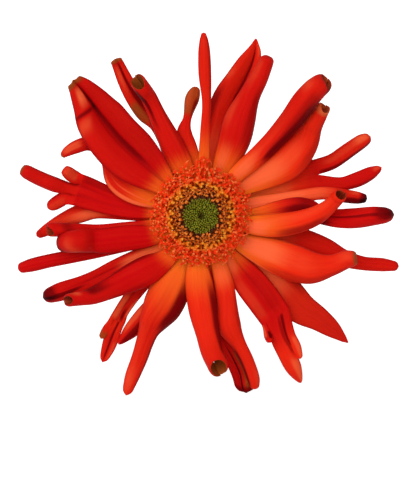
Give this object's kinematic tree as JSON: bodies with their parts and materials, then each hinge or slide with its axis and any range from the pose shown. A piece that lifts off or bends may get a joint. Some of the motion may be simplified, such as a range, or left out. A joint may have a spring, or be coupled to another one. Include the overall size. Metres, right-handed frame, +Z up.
{
  "type": "cut gerbera daisy flower",
  "caption": "Cut mini gerbera with a shaggy orange-red head of split, curled ray petals around a green-centred disc, on a short leafless stem, lying on its side.",
  "frame": {"origin": "on the ground, under the middle of the bounding box", "axes": "+Z up; the flower head faces -Y and leans back 13 degrees; the stem runs back along +Y"},
  "size_m": [0.084, 0.1746, 0.0781],
  "materials": {
    "petal": "soft satin, scarlet to crimson with an orange base, dull orange-red beneath, some tips brown",
    "bract": "matte green, finely veined, with a reddish tip",
    "receptacle": "matte pale green, dark reddish brown at its top",
    "disc_bud": "matte olive green",
    "disc_floret": "matte amber with dark maroon mouths",
    "trans_floret": "satin orange-red",
    "stem": "matte green, finely ribbed and downy"
  },
  "bodies": {
    "root": {"petal_01": "petal", "petal_02": "petal", "petal_03": "petal", "petal_04": "petal", "petal_05": "petal", "petal_06": "petal", "petal_07": "petal", "petal_08": "petal", "petal_09": "petal", "petal_10": "petal", "petal_11": "petal", "petal_12": "petal", "petal_13": "petal", "petal_14": "petal", "petal_15": "petal", "petal_16": "petal", "petal_17": "petal", "petal_18": "petal", "petal_19": "petal", "petal_20": "petal", "petal_21": "petal", "petal_22": "petal", "petal_23": "petal", "petal_24": "petal", "petal_25": "petal", "petal_26": "petal", "petal_27": "petal", "petal_28": "petal", "petal_29": "petal", "petal_30": "petal", "petal_31": "petal", "outer_bract_01": "bract", "outer_bract_02": "bract", "outer_bract_03": "bract", "outer_bract_04": "bract", "outer_bract_05": "bract", "outer_bract_06": "bract", "outer_bract_07": "bract", "outer_bract_08": "bract", "outer_bract_09": "bract", "outer_bract_10": "bract", "inner_bract_01": "bract", "inner_bract_02": "bract", "inner_bract_03": "bract", "inner_bract_04": "bract", "inner_bract_05": "bract", "inner_bract_06": "bract", "inner_bract_07": "bract", "inner_bract_08": "bract", "inner_bract_09": "bract", "inner_bract_10": "bract", "receptacle": "receptacle", "disc_buds": "disc_bud", "disc_florets": "disc_floret", "trans_florets": "trans_floret", "stem": "stem"}
  },
  "joints": []
}
